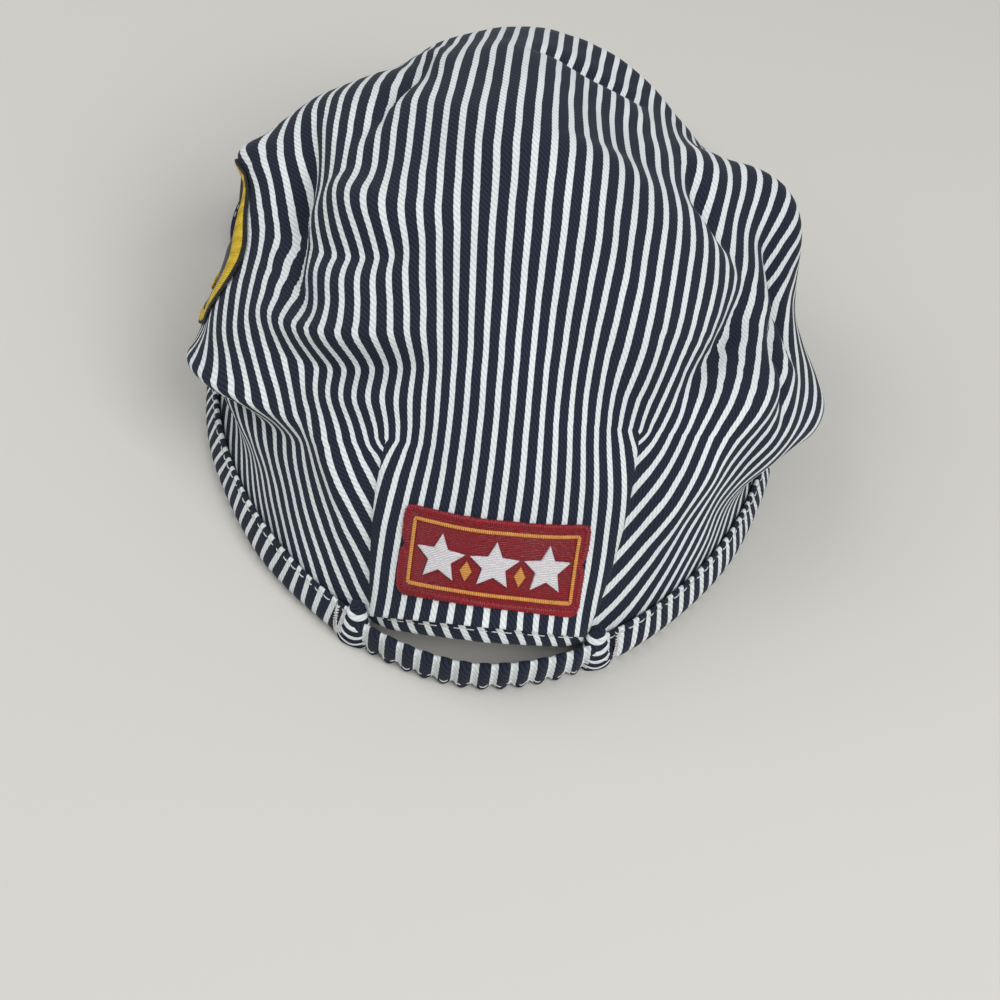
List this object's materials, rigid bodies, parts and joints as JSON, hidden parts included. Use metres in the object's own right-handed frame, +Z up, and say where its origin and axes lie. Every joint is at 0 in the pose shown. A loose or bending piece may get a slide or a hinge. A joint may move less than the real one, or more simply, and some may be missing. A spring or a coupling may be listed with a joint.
{
  "type": "engineer's cap",
  "caption": "Soft striped cap with a puffy pleated crown, hem band, short peak, gathered elastic strap across an arched back opening, a back patch and a side badge.",
  "frame": {"origin": "on the surface the cap rests on, under the middle of the whole cap's length and width", "axes": "+Z up, +Y towards the back of the cap, -Y towards the peak, +X towards the wearer's left"},
  "size_m": [0.1734, 0.2624, 0.095],
  "materials": {
    "crown_twill": "matt cotton twill, navy with narrow white stripes",
    "band_twill": "matt cotton twill, stripes across the band",
    "strap_twill": "gathered cotton twill over elastic",
    "facing_twill": "folded cotton twill edge",
    "peak_twill": "cotton twill over a stiffener",
    "patch_embroidery": "red embroidery thread with a gold line",
    "badge_embroidery": "yellow embroidery thread"
  },
  "bodies": {
    "root": {"crown_back": "crown_twill", "crown_left": "crown_twill", "crown_right": "crown_twill", "band": "band_twill", "elastic_strap": "strap_twill", "back_facing": "facing_twill", "peak": "peak_twill", "back_patch": "patch_embroidery", "side_badge": "badge_embroidery"}
  },
  "joints": []
}
